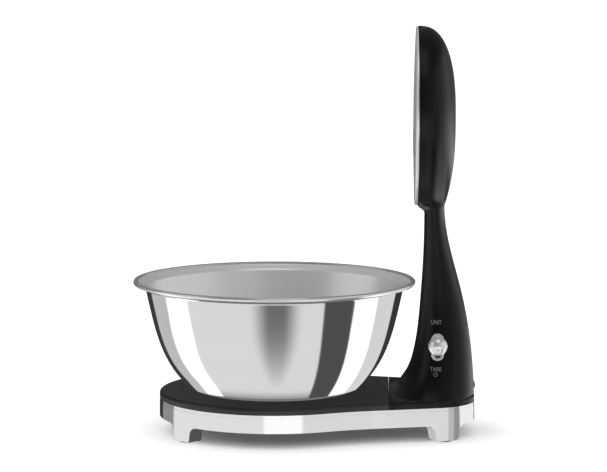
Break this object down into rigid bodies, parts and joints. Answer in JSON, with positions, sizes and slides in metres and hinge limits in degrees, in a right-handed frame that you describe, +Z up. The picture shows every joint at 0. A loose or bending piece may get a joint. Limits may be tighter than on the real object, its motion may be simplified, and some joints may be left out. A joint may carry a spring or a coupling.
{
  "type": "kitchen scale",
  "caption": "Electronic kitchen scale: steel bowl on a round platform over a bright cast base, with a curved column carrying a round dial head and a side lever.",
  "frame": {"origin": "on the floor under the middle of the scale, at the height of the foot pads", "axes": "+Z up; -X towards the side the dial faces, +X towards the column; the lever is on the -Y side"},
  "size_m": [0.2715, 0.224, 0.3225],
  "materials": {
    "base_metal": "polished casting",
    "foot_rubber": "moulded rubber",
    "tray_plastic": "moulded, fine texture",
    "screw_steel": "plated steel",
    "cell_aluminium": "milled",
    "carrier_steel": "stamped sheet",
    "body_plastic": "satin black moulding",
    "door_plastic": "satin black moulding",
    "holder_plastic": "moulded",
    "battery_wrap": "printed sleeve, plain",
    "contact_metal": "nickel plated",
    "board_laminate": "coated laminate",
    "dial_silver": "satin silver",
    "window_smoke": "clear dark moulding",
    "display_red": "moulded display block",
    "lever_metal": "polished",
    "switch_plastic": "moulded",
    "cable_sheath": "soft sheath",
    "ribbon_sheath": "flat ribbon",
    "lead_sheath": "soft sheath",
    "bowl_steel": "polished outside, satin inside"
  },
  "bodies": {
    "base": {"base_frame": "base_metal", "foot_pad_front_left": "foot_rubber", "foot_pad_front_right": "foot_rubber", "foot_pad_rear_left": "foot_rubber", "foot_pad_rear_right": "foot_rubber", "chassis_tray": "tray_plastic", "ledge_screws": "screw_steel", "column_screws": "screw_steel", "load_cell": "cell_aluminium", "cell_screws_fixed": "screw_steel", "overload_stops": "screw_steel", "column_housing": "body_plastic", "battery_holder": "holder_plastic", "battery_left": "battery_wrap", "battery_middle": "battery_wrap", "battery_right": "battery_wrap", "battery_contacts": "contact_metal", "main_board": "board_laminate", "board_screws": "screw_steel", "dial_cover": "dial_silver", "display_window": "window_smoke", "display_module": "display_red", "display_board": "board_laminate", "lever_plate": "lever_metal", "lever_switch": "switch_plastic", "load_cell_cable": "cable_sheath", "display_ribbon": "ribbon_sheath", "battery_leads": "lead_sheath"},
    "platform": {"platform": "body_plastic", "platform_carrier": "carrier_steel", "carrier_screws": "screw_steel", "cell_screws_free": "screw_steel"},
    "bowl": {"bowl": "bowl_steel"},
    "lever": {"lever": "lever_metal"},
    "battery_door": {"battery_door": "door_plastic"}
  },
  "joints": [
    {"name": "platform_press", "type": "slide", "parent": "base", "child": "platform", "axis": [0, 0, 1], "range_m": [-0.0003, 0], "stiffness_N_per_m": 160000, "deforming": ["load_cell"]},
    {"name": "bowl_lift", "type": "slide", "parent": "platform", "child": "bowl", "axis": [-0.5, 0, 0.866], "range_m": [0, 0.2]},
    {"name": "lever_rock", "type": "hinge", "parent": "base", "child": "lever", "pos_m": [0.10555, -0.02864, 0.07101], "axis": [1, 0, 0], "range_deg": [-12, 12], "stiffness_Nm_per_rad": 0.25},
    {"name": "battery_door_hinge", "type": "hinge", "parent": "base", "child": "battery_door", "pos_m": [0.13008, 0, 0.0879], "axis": [0, -1, 0], "range_deg": [0, 75]}
  ]
}
